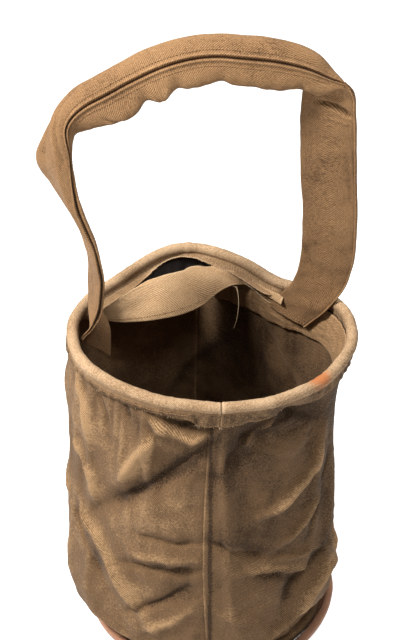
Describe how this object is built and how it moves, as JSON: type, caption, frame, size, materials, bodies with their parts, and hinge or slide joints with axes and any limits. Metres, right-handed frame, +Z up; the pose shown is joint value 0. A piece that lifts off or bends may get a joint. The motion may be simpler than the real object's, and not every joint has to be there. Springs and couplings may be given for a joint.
{
  "type": "mail sack",
  "caption": "Round canvas mail sack with a corded rim, a bound flat base, an inner facing band that hangs loose at the back, and one shoulder strap.",
  "frame": {"origin": "centre of the round base, on the surface that the sack stands on", "axes": "+Z up through the mouth, +X to the right along the strap's span, +Y to the back, where the rim rises to its peak"},
  "size_m": [0.3108, 0.2835, 0.6709],
  "materials": {
    "body_canvas": "worn cotton twill, khaki brown",
    "rim_canvas": "worn cotton twill, paler where it rubs",
    "facing_canvas": "cotton twill, tan",
    "strap_canvas": "cotton twill, tan brown",
    "binding_tape": "woven tape, red-brown",
    "grey_lining": "plain dark grey cloth",
    "thread": "cotton sewing thread, brown",
    "rim_rope": "laid cotton cord"
  },
  "bodies": {
    "sack": {"body_panel_left": "body_canvas", "body_panel_right": "body_canvas", "base_panel": "body_canvas", "base_binding": "binding_tape", "rim_cord": "rim_rope", "rim_casing": "rim_canvas", "inner_facing": "facing_canvas", "back_lining": "grey_lining", "strap_end_left": "strap_canvas", "strap_end_right": "strap_canvas", "rim_stitching": "thread", "hem_stitching": "thread", "facing_stitching": "thread", "front_seam_stitching": "thread", "back_seam_stitching": "thread", "base_stitching": "thread", "strap_end_stitching_left": "thread", "strap_end_stitching_right": "thread"},
    "strap": {"strap_leg_left": "strap_canvas", "strap_leg_right": "strap_canvas", "strap_grip": "strap_canvas", "strap_edge_stitching": "thread"},
    "flap": {"loose_facing": "facing_canvas", "loose_facing_stitching": "thread"}
  },
  "joints": [
    {"name": "strap_swing", "type": "hinge", "parent": "sack", "child": "strap", "pos_m": [-0.12882, 0.00453, 0.37168], "axis": [0.982, 0.1889, 0], "range_deg": [-60, 60]},
    {"name": "flap_lift", "type": "hinge", "parent": "sack", "child": "flap", "pos_m": [-0.0125, 0.106, 0.351], "axis": [-1, 0, 0], "range_deg": [-40, 30]}
  ]
}
